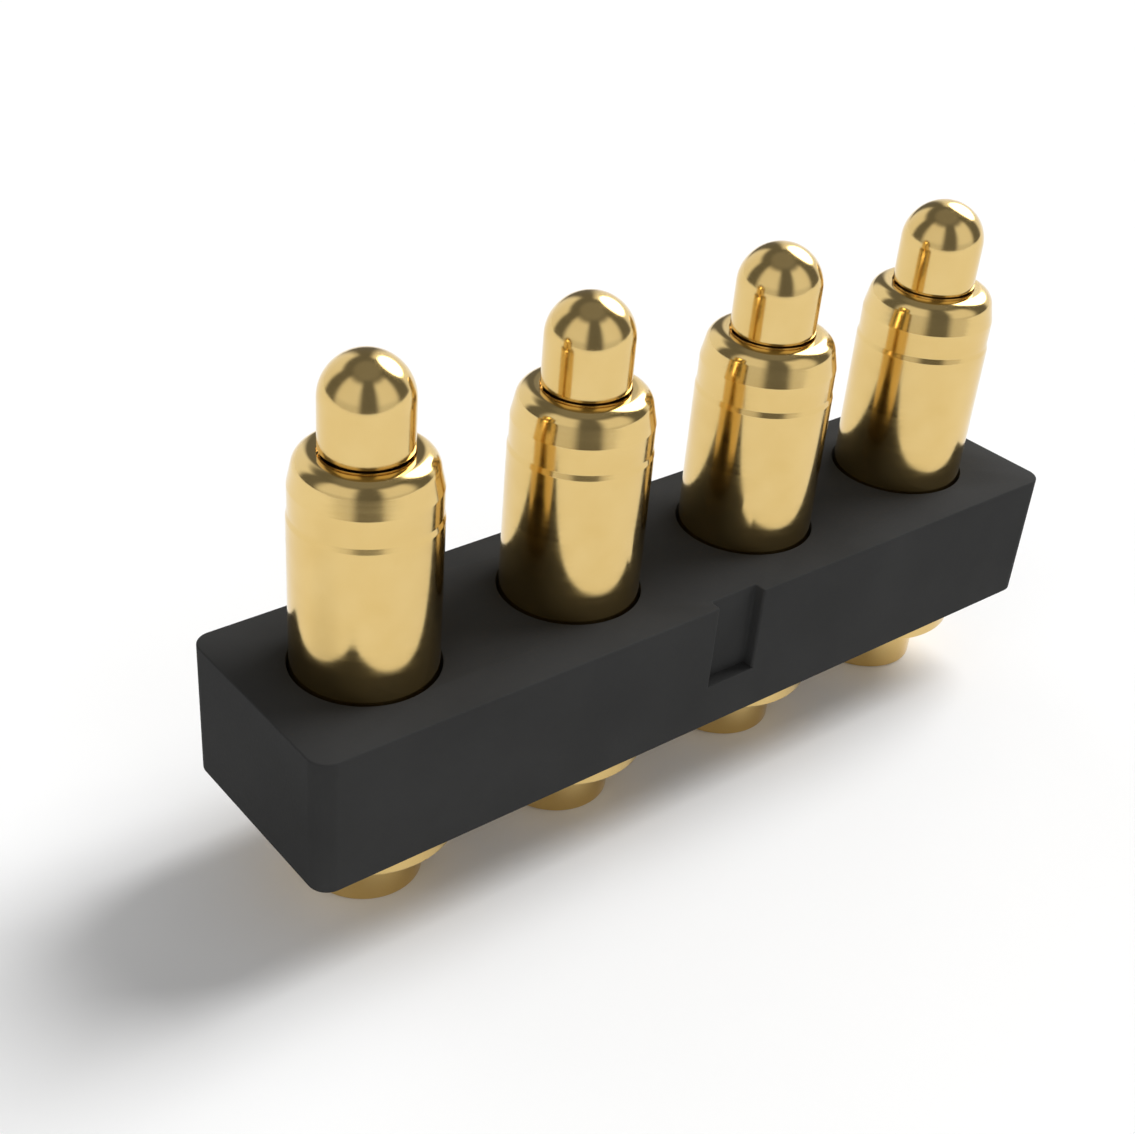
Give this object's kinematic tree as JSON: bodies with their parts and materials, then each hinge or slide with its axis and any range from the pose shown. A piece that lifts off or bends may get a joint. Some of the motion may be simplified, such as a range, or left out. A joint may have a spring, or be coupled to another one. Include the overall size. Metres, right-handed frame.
{
  "type": "pogo pin connector",
  "caption": "Row of gold-plated spring-loaded contact pins in a small black moulded housing, with flanged barrels, round plunger tips and short solder tails.",
  "frame": {"origin": "on the board, under the middle of the row: the level of the tails' ends", "axes": "+X along the row, +Y from the notched face to the plain one, +Z from the board to the tips"},
  "size_m": [0.0102, 0.0024, 0.0059],
  "materials": {
    "housing_plastic": "fine moulded texture, matt black",
    "gold_plate": "turned brass, polished and gold plated",
    "spring_steel": "drawn spring wire"
  },
  "bodies": {
    "base": {"housing": "housing_plastic", "barrel_1": "gold_plate", "barrel_2": "gold_plate", "barrel_3": "gold_plate", "barrel_4": "gold_plate", "spring_1": "spring_steel", "spring_2": "spring_steel", "spring_3": "spring_steel", "spring_4": "spring_steel"},
    "plunger_1": {"plunger_1": "gold_plate"},
    "plunger_2": {"plunger_2": "gold_plate"},
    "plunger_3": {"plunger_3": "gold_plate"},
    "plunger_4": {"plunger_4": "gold_plate"}
  },
  "joints": [
    {"name": "plunger_1_slide", "type": "slide", "parent": "base", "child": "plunger_1", "axis": [0, 0, 1], "range_m": [-0.0008, 0], "stiffness_N_per_m": 630, "deforming": ["spring_1"]},
    {"name": "plunger_2_slide", "type": "slide", "parent": "base", "child": "plunger_2", "axis": [0, 0, 1], "range_m": [-0.0008, 0], "stiffness_N_per_m": 630, "deforming": ["spring_2"]},
    {"name": "plunger_3_slide", "type": "slide", "parent": "base", "child": "plunger_3", "axis": [0, 0, 1], "range_m": [-0.0008, 0], "stiffness_N_per_m": 630, "deforming": ["spring_3"]},
    {"name": "plunger_4_slide", "type": "slide", "parent": "base", "child": "plunger_4", "axis": [0, 0, 1], "range_m": [-0.0008, 0], "stiffness_N_per_m": 630, "deforming": ["spring_4"]}
  ]
}
